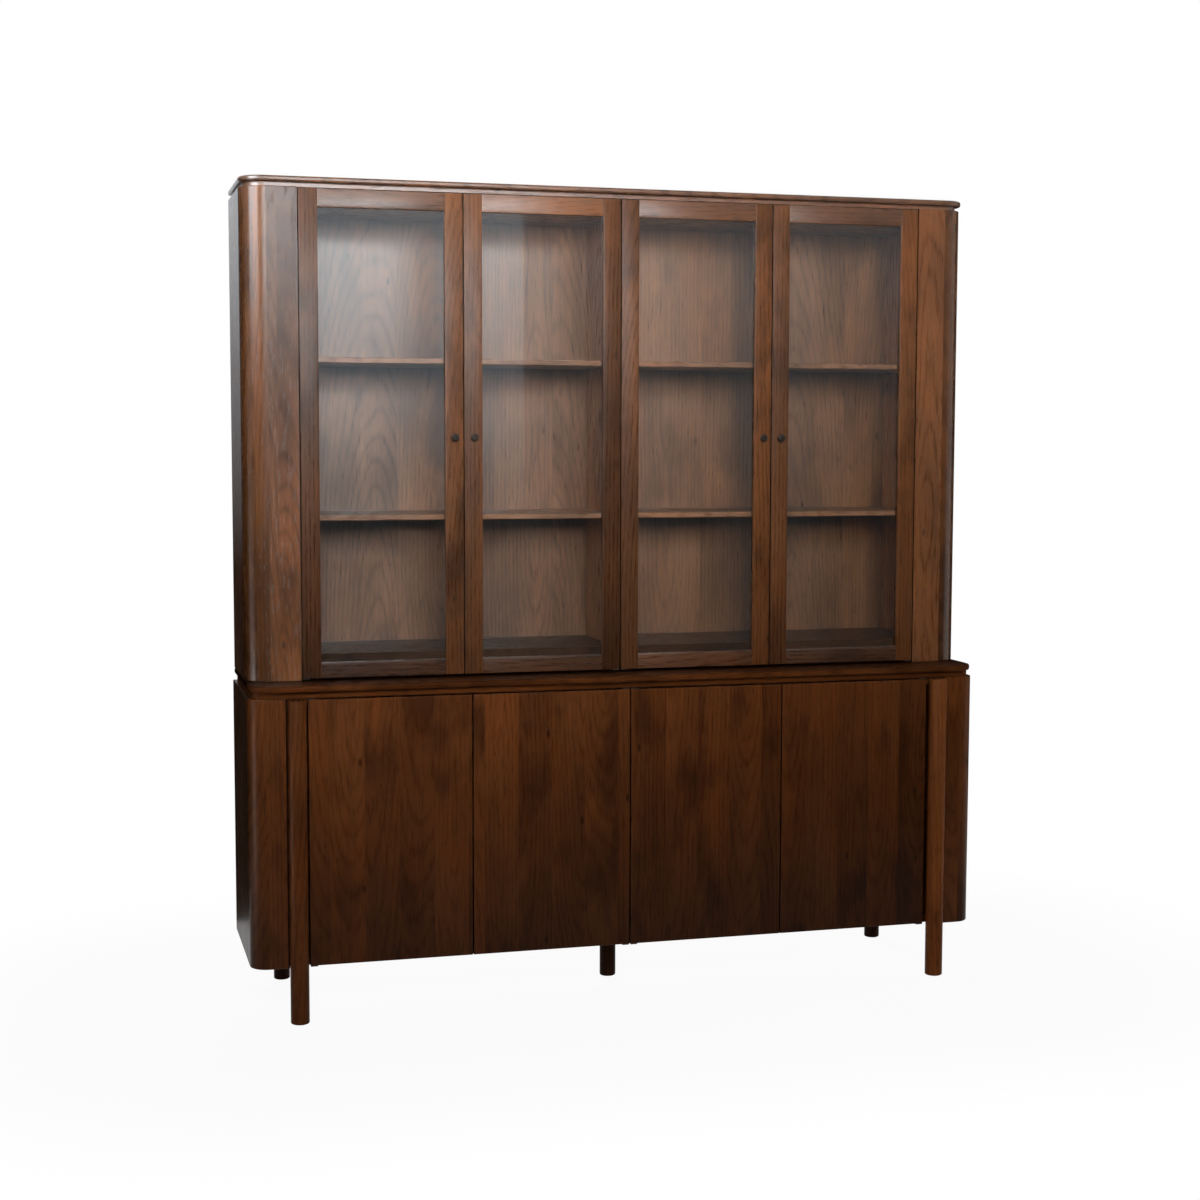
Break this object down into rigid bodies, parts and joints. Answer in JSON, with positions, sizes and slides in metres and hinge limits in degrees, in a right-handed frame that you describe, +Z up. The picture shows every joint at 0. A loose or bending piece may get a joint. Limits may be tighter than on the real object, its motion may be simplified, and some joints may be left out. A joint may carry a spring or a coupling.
{
  "type": "dresser with hutch",
  "caption": "Dresser: a closed cupboard on round posts and legs, with a glazed hutch of the same width, with shelves and rounded front corners, bolted on top.",
  "frame": {"origin": "on the floor, under the centre of the whole cabinet", "axes": "+X to the right seen from the front, +Y to the back, +Z up; the doors face -Y"},
  "size_m": [2, 0.4789, 2.147],
  "materials": {
    "base_wood": "dark brown stained wood, satin lacquer",
    "hutch_wood": "brown stained wood, satin lacquer",
    "inner_wood": "brown stained wood, satin",
    "back_veneer": "stained veneer, satin",
    "dowel_wood": "plain beech",
    "clear_glass": "clear float glass",
    "dark_metal": "dark bronze",
    "steel_fittings": "burnished",
    "catch_plastic": "brown plastic"
  },
  "bodies": {
    "cabinet": {"base_back_board": "back_veneer", "base_corner_left": "base_wood", "base_corner_right": "base_wood", "base_floor_board": "inner_wood", "base_front_panel_left": "base_wood", "base_front_panel_right": "base_wood", "base_neck_board": "base_wood", "base_partition": "inner_wood", "base_shelves": "inner_wood", "base_side_left": "base_wood", "base_side_right": "base_wood", "base_top_board": "inner_wood", "base_top_slab": "base_wood", "base_uprights": "inner_wood", "front_post_left": "base_wood", "front_post_right": "base_wood", "hinge_pivot_pins": "steel_fittings", "hinge_plate_screws": "steel_fittings", "hinge_plates": "steel_fittings", "hutch_back_board": "back_veneer", "hutch_ceiling_board": "inner_wood", "hutch_corner_left": "hutch_wood", "hutch_corner_right": "hutch_wood", "hutch_floor_board": "inner_wood", "hutch_front_panel_left": "hutch_wood", "hutch_front_panel_right": "hutch_wood", "hutch_head_rails": "inner_wood", "hutch_joining_bolts": "steel_fittings", "hutch_neck_board": "hutch_wood", "hutch_partition": "inner_wood", "hutch_plinth_rails": "inner_wood", "hutch_shelves": "inner_wood", "hutch_side_left": "hutch_wood", "hutch_side_right": "hutch_wood", "hutch_top_slab": "hutch_wood", "hutch_uprights": "inner_wood", "leg_bolts": "steel_fittings", "magnet_catches": "catch_plastic", "middle_leg": "base_wood", "post_backer_strips": "inner_wood", "post_dowels": "dowel_wood", "push_latches": "catch_plastic", "rear_legs": "base_wood", "shelf_pins": "steel_fittings"},
    "base_door_outer_left": {"base_door_outer_left": "base_wood"},
    "base_door_inner_left": {"base_door_inner_left": "base_wood"},
    "base_door_inner_right": {"base_door_inner_right": "base_wood"},
    "base_door_outer_right": {"base_door_outer_right": "base_wood"},
    "hutch_door_outer_left": {"hutch_door_outer_left_frame": "hutch_wood", "hutch_door_outer_left_glass": "clear_glass", "hutch_door_outer_left_knob": "dark_metal"},
    "hutch_door_inner_left": {"hutch_door_inner_left_frame": "hutch_wood", "hutch_door_inner_left_glass": "clear_glass", "hutch_door_inner_left_knob": "dark_metal"},
    "hutch_door_inner_right": {"hutch_door_inner_right_frame": "hutch_wood", "hutch_door_inner_right_glass": "clear_glass", "hutch_door_inner_right_knob": "dark_metal"},
    "hutch_door_outer_right": {"hutch_door_outer_right_frame": "hutch_wood", "hutch_door_outer_right_glass": "clear_glass", "hutch_door_outer_right_knob": "dark_metal"}
  },
  "joints": [
    {"name": "base_door_outer_left_hinge", "type": "hinge", "parent": "cabinet", "child": "base_door_outer_left", "pos_m": [-0.8405, -0.1975, 0.486], "axis": [0, 0, -1], "range_deg": [0, 95]},
    {"name": "base_door_inner_left_hinge", "type": "hinge", "parent": "cabinet", "child": "base_door_inner_left", "pos_m": [-0.0115, -0.1975, 0.486], "axis": [0, 0, 1], "range_deg": [0, 90]},
    {"name": "base_door_inner_right_hinge", "type": "hinge", "parent": "cabinet", "child": "base_door_inner_right", "pos_m": [0.0115, -0.1975, 0.486], "axis": [0, 0, -1], "range_deg": [0, 90]},
    {"name": "base_door_outer_right_hinge", "type": "hinge", "parent": "cabinet", "child": "base_door_outer_right", "pos_m": [0.8405, -0.1975, 0.486], "axis": [0, 0, 1], "range_deg": [0, 95]},
    {"name": "hutch_door_outer_left_hinge", "type": "hinge", "parent": "cabinet", "child": "hutch_door_outer_left", "pos_m": [-0.8405, -0.095, 1.49475], "axis": [0, 0, -1], "range_deg": [0, 110]},
    {"name": "hutch_door_inner_left_hinge", "type": "hinge", "parent": "cabinet", "child": "hutch_door_inner_left", "pos_m": [-0.0115, -0.095, 1.49475], "axis": [0, 0, 1], "range_deg": [0, 85]},
    {"name": "hutch_door_inner_right_hinge", "type": "hinge", "parent": "cabinet", "child": "hutch_door_inner_right", "pos_m": [0.0115, -0.095, 1.49475], "axis": [0, 0, -1], "range_deg": [0, 85]},
    {"name": "hutch_door_outer_right_hinge", "type": "hinge", "parent": "cabinet", "child": "hutch_door_outer_right", "pos_m": [0.8405, -0.095, 1.49475], "axis": [0, 0, 1], "range_deg": [0, 110]}
  ]
}
